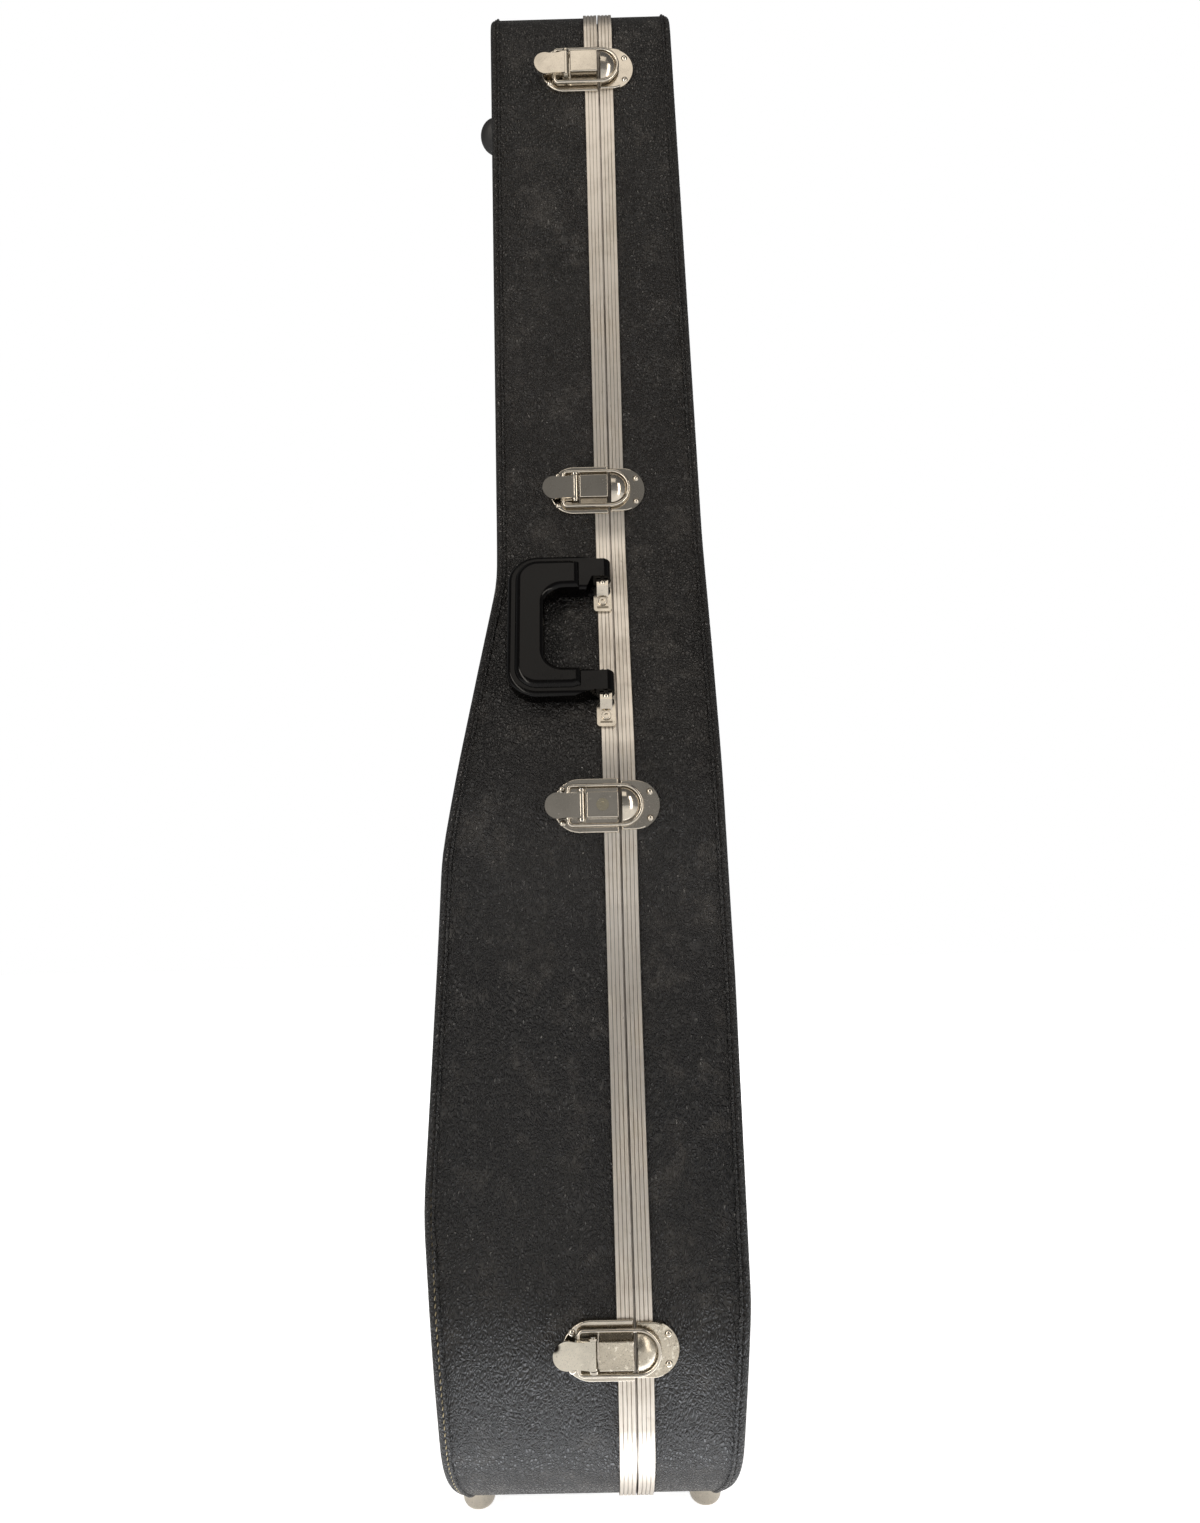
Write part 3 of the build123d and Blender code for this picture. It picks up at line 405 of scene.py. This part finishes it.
MATERIAL_OF = {
    "deep_panel": SKIN_PANEL,
    "lid_panel": SKIN_PANEL,
    "deep_wall": SKIN,
    "lid_wall": SKIN,
    "deep_seam_bead": BEAD,
    "lid_seam_bead": BEAD,
    "deep_trim": TRIM,
    "lid_trim": TRIM,
    "carrying_handle": GRIP,
    "back_feet": RUBBER,
    "lock_plug": LOCK,
    "lever_pins": PIN,
    "hinge_pins": PIN,
    "flap_pins": PIN,
    "flap_tab": TAPE,
    "accessory_tray": PLUSH_PAD,
    "accessory_flap": PLUSH_PAD,
    "neck_cradle": PLUSH_PAD,
    "deep_lining": PLUSH,
    "lid_lining": PLUSH,
    "latch_box_1": NICKEL_WORN,
    "latch_keeper_1": NICKEL_WORN,
    "latch_lever_1": NICKEL_NOTCH_SHADED,
}


def dress(obj, material):
    obj.data.materials.clear()
    obj.data.materials.append(material)


for node_name, node in nodes.items():
    dress(node, MATERIAL_OF.get(node_name, NICKEL))


# Outline and the depth of the piping, which the stitching follows
def rounded_corner(before, corner, after, radius):
    """Where the arc that rounds a corner starts and ends, and its centre."""
    a = Vector(before) - Vector(corner)
    b = Vector(after) - Vector(corner)
    a.normalize()
    b.normalize()
    half = a.angle(b) / 2
    run = radius / math.tan(half)
    middle = (a + b).normalized()
    centre = Vector(corner) + middle * (radius / math.sin(half))
    return Vector(corner) + a * run, Vector(corner) + b * run, centre


# The case's outline as the part's source has it, in mm: corners (across, up) and the radius of each
OUTLINE_POINTS = [
    (0.0, 11.0),
    (120.0, 11.0),
    (177.0, 52.0),
    (193.0, 130.0),
    (152.0, 345.0),
    (155.0, 452.0),
    (91.0, 620.0),
    (86.0, 1016.0),
    (0.0, 1016.0),
]
OUTLINE_RADII = [95.0, 80.0, 150.0, 260.0, 110.0, 90.0, 28.0]
ARC_STEP = 1.5
HUB_Z = 0.45


def outline(step):
    """Points (y, z) and outward normals once round the case, in metres, about step apart."""
    run = [Vector(OUTLINE_POINTS[0])]
    for i in range(1, len(OUTLINE_POINTS) - 1):
        start, end, centre = rounded_corner(*OUTLINE_POINTS[i - 1 : i + 2], OUTLINE_RADII[i - 1])
        u, v = start - centre, end - centre
        angle = u.angle(v)
        turn = 1 if u.x * v.y - u.y * v.x > 0 else -1
        parts = max(4, int(angle * OUTLINE_RADII[i - 1] / ARC_STEP))
        for k in range(parts + 1):
            a = turn * angle * k / parts
            across = u.x * math.cos(a) - u.y * math.sin(a)
            up = u.x * math.sin(a) + u.y * math.cos(a)
            run.append(centre + Vector((across, up)))
    run.append(Vector(OUTLINE_POINTS[-1]))
    loop = run + [Vector((-p.x, p.y)) for p in reversed(run[1:-1])]
    length = sum((loop[(i + 1) % len(loop)] - p).length for i, p in enumerate(loop))
    count = int(length / (step * 1000))
    spacing = length / count
    out = []
    travelled, target = 0.0, 0.0
    for i, p in enumerate(loop):
        q = loop[(i + 1) % len(loop)]
        d = q - p
        while target < travelled + d.length and len(out) < count:
            at = p + d * ((target - travelled) / d.length)
            n = Vector((d.y, -d.x)).normalized()
            out.append((at.x / 1000 + MIDDLE_Y, at.y / 1000, n.x, n.y))
            target += spacing
        travelled += d.length
    return out


def bead_depths(node_name):
    """Function that gives the depth of a seam bead at a place round the case, seen from its hub."""
    mesh = nodes[node_name].data
    spots = []
    for v in mesh.vertices:
        spots.append((math.atan2(v.co.y - MIDDLE_Y, v.co.z - HUB_Z), v.co.x))
    spots.sort()
    bins = 240
    sums = [[0.0, 0] for _ in range(bins)]
    for angle, x in spots:
        k = int((angle + math.pi) / (2 * math.pi) * bins) % bins
        sums[k][0] += x
        sums[k][1] += 1
    known = [(k, s / n) for k, (s, n) in enumerate(sums) if n]

    def at(y, z):
        k = (math.atan2(y - MIDDLE_Y, z - HUB_Z) + math.pi) / (2 * math.pi) * bins - 0.5
        before = [p for p in known if p[0] <= k] or [(known[-1][0] - bins, known[-1][1])]
        after = [p for p in known if p[0] > k] or [(known[0][0] + bins, known[0][1])]
        (k0, x0), (k1, x1) = before[-1], after[0]
        return x0 + (x1 - x0) * (k - k0) / (k1 - k0)

    return at


# Pieces
STITCH_OUT = 0.0016
STITCH_PITCH = 0.0040
STITCH_HALF_WIDTH = 0.00034
STITCH_HALF_LENGTH = 0.00125
STITCH_SIDES = 6
STITCH_RINGS = 5


def new_object(name, mesh, material, body):
    obj = bpy.data.objects.new(name, mesh)
    scene.collection.objects.link(obj)
    dress(obj, material)
    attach(obj, body)
    return obj


def stitch_row(name, body, bead, side, material):
    """Row of thread stitches sewn beside the edge piping of one half."""
    depth = bead_depths(bead)
    bm = bmesh.new()
    for y, z, ny, nz in outline(STITCH_PITCH):
        x = depth(y, z) + side * STITCH_OUT
        n = Vector((0, ny, nz))
        t = Vector((0, -nz, ny))
        lean = (t + Vector((side * 0.18, 0, 0))).normalized()
        b = n.cross(lean)
        at = Vector((x, y, z))
        rings = []
        for k in range(STITCH_RINGS):
            s = -1 + 2 * k / (STITCH_RINGS - 1)
            size = math.sqrt(max(0.0, 1 - (abs(s) * 0.86) ** 2))
            lift = 0.00012 + 0.00026 * (1 - s * s)
            ring = []
            for j in range(STITCH_SIDES):
                a = math.tau * j / STITCH_SIDES
                high = lift + math.sin(a) * STITCH_HALF_WIDTH * size * 0.8
                wide = math.cos(a) * STITCH_HALF_WIDTH * size
                ring.append(bm.verts.new(at + lean * (s * STITCH_HALF_LENGTH) + n * high + b * wide))
            rings.append(ring)
        for r0, r1 in zip(rings, rings[1:]):
            for j in range(STITCH_SIDES):
                after = (j + 1) % STITCH_SIDES
                bm.faces.new((r0[j], r0[after], r1[after], r1[j]))
        bm.faces.new(rings[0][::-1])
        bm.faces.new(rings[-1])
    bmesh.ops.recalc_face_normals(bm, faces=bm.faces)
    mesh = bpy.data.meshes.new(name)
    bm.to_mesh(mesh)
    bm.free()
    mesh.shade_smooth()
    return new_object(name, mesh, material, body)


stitch_row("deep_edge_stitching", "case_body", "deep_seam_bead", -1, STITCH)
stitch_row("lid_edge_stitching", "lid", "lid_seam_bead", 1, STITCH_DARK)


def soft_copy(name, node_name, body, material, voxel, depth, rough, fill, inward, relax=3):
    """Padded piece in place of a plain soft solid: remeshed, relaxed and rumpled.

    voxel is the mesh size, depth and rough the height and tightness of the rumples, inward how far the
    surface is drawn in to leave them room.
    """
    source = nodes[node_name]
    mesh = source.data.copy()
    mesh.name = name
    obj = bpy.data.objects.new(name, mesh)
    scene.collection.objects.link(obj)
    bpy.context.view_layer.objects.active = obj
    remesh = obj.modifiers.new("remesh", "REMESH")
    remesh.mode = "VOXEL"
    remesh.voxel_size = voxel
    remesh.use_smooth_shade = True
    smooth = obj.modifiers.new("relax", "SMOOTH")
    smooth.factor = 0.5
    smooth.iterations = relax
    graph = bpy.context.evaluated_depsgraph_get()
    final = bpy.data.meshes.new_from_object(obj.evaluated_get(graph))
    obj.modifiers.clear()
    obj.data = final
    final.name = name
    moves = []
    for v in final.vertices:
        wave = noise.noise(v.co * rough) + 0.5 * noise.noise(v.co * rough * 2.7 + Vector((3, 1, 2)))
        moves.append(v.co + v.normal * (depth * wave - inward))
    for v, co in zip(final.vertices, moves):
        v.co = co
    final.update()
    final.shade_smooth()
    dress(obj, material)
    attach(obj, body)
    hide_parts(node_name)
    return obj


LINING = dict(voxel=0.0030, depth=0.0007, rough=26, fill=0.5, inward=0.0008)
CRADLE = dict(voxel=0.0022, depth=0.0005, rough=40, fill=0.8, inward=0.0006)
TRAY = dict(voxel=0.0012, depth=0.0001, rough=60, fill=0.4, inward=0.0001, relax=1)
FLAP = dict(voxel=0.0010, depth=0.0001, rough=60, fill=0.4, inward=0.0002, relax=1)
soft_copy("deep_plush_lining", "deep_lining", "case_body", PLUSH, **LINING)
soft_copy("lid_plush_lining", "lid_lining", "lid", PLUSH, **LINING)
soft_copy("neck_cradle_pad", "neck_cradle", "case_body", PLUSH_PAD, **CRADLE)
soft_copy("accessory_tray_plush", "accessory_tray", "case_body", PLUSH_PAD, **TRAY)
soft_copy("accessory_flap_plush", "accessory_flap", "accessory_flap", PLUSH_PAD, **FLAP)


# Stage and light
FLOOR_HALF = 6
FLOOR_DROP = 0.0002
ROOM_LOW = 0.34
ROOM_HIGH = 0.16
FLOOR_SEEN = 0.90
FLOOR_MIRRORED = 0.60


def stage_floor():
    """Pale floor, near white to the camera."""
    bm = bmesh.new()
    bmesh.ops.create_grid(bm, x_segments=4, y_segments=4, size=FLOOR_HALF)
    mesh = bpy.data.meshes.new("floor")
    bm.to_mesh(mesh)
    bm.free()
    floor = bpy.data.objects.new("floor", mesh)
    floor.location = (0, 0, -FLOOR_DROP)
    scene.collection.objects.link(floor)
    t = Tree("pale_floor")
    t.set(Base_Color=(0.82, 0.82, 0.82, 1), Roughness=0.9, Specular_IOR_Level=0.1)
    path = t.node("ShaderNodeLightPath")
    glow = t.node("ShaderNodeEmission")
    glow.inputs["Color"].default_value = (1, 1, 1, 1)
    seen = t.math("MULTIPLY", path.outputs["Is Camera Ray"], FLOOR_SEEN)
    mirrored = t.math("MULTIPLY", path.outputs["Is Glossy Ray"], FLOOR_MIRRORED)
    t.put(glow.inputs["Strength"], t.math("ADD", seen, mirrored))
    both = t.node("ShaderNodeAddShader")
    t.link(t.bsdf.outputs[0], both.inputs[0])
    t.link(glow.outputs[0], both.inputs[1])
    t.link(both.outputs[0], t.out.inputs[0])
    mesh.materials.append(t.mat)


def studio_world():
    """White to the camera; to the part a soft room, darker towards its ceiling."""
    world = bpy.data.worlds.new("studio")
    scene.world = world
    world.use_nodes = True
    tree = world.node_tree
    tree.nodes.clear()

    def node(kind):
        return tree.nodes.new(kind)

    out = node("ShaderNodeOutputWorld")
    back = node("ShaderNodeBackground")
    back.inputs["Color"].default_value = (1, 1, 1, 1)
    path = node("ShaderNodeLightPath")
    place = node("ShaderNodeTexCoord")
    parts = node("ShaderNodeSeparateXYZ")
    tree.links.new(place.outputs["Generated"], parts.inputs[0])
    level = node("ShaderNodeMapRange")
    level.inputs["From Min"].default_value = 0.0
    level.inputs["From Max"].default_value = 0.7
    level.inputs["To Min"].default_value = ROOM_LOW
    level.inputs["To Max"].default_value = ROOM_HIGH
    tree.links.new(parts.outputs["Z"], level.inputs["Value"])
    reach = node("ShaderNodeMapRange")
    reach.inputs["To Max"].default_value = 1.0
    tree.links.new(level.outputs[0], reach.inputs["To Min"])
    tree.links.new(path.outputs["Is Camera Ray"], reach.inputs["Value"])
    tree.links.new(reach.outputs[0], back.inputs["Strength"])
    tree.links.new(back.outputs[0], out.inputs[0])


def area_light(name, at, aim, size, power, colour):
    """Rectangular lamp at a place, turned to its aim."""
    data = bpy.data.lights.new(name, "AREA")
    data.shape = "RECTANGLE"
    data.size, data.size_y = size
    data.energy = power
    data.color = colour
    obj = bpy.data.objects.new(name, data)
    obj.location = at
    obj.rotation_euler = (Vector(aim) - Vector(at)).to_track_quat("-Z", "Y").to_euler()
    scene.collection.objects.link(obj)
    return obj


stage_floor()
studio_world()
WARM = (1.0, 0.93, 0.84)
COOL = (0.90, 0.94, 1.0)
WHITE = (1.0, 1.0, 1.0)
MIDDLE = (0, 0, 0.5)
GLOW_Y = -0.197
area_light("left_box", (-0.95, -1.25, 0.85), MIDDLE, (0.32, 1.9), 13, WARM)
area_light("right_box", (1.15, -1.15, 0.75), MIDDLE, (0.30, 1.7), 9, WARM)
area_light("ceiling", (0.05, -1.25, 2.25), (0, 0, 0.75), (1.5, 0.9), 5, WARM)
area_light("back_box", (0.2, 1.7, 1.5), MIDDLE, (1.2, 1.6), 20, WHITE)
# A strip that faces up, just in front of the tail
glow = area_light("tail_glow", (SPLIT_X, GLOW_Y, 0.002), (SPLIT_X, GLOW_Y, 1.0), (0.60, 0.05), 0.38, COOL)
glow.visible_camera = False

scene.view_settings.view_transform = "Standard"
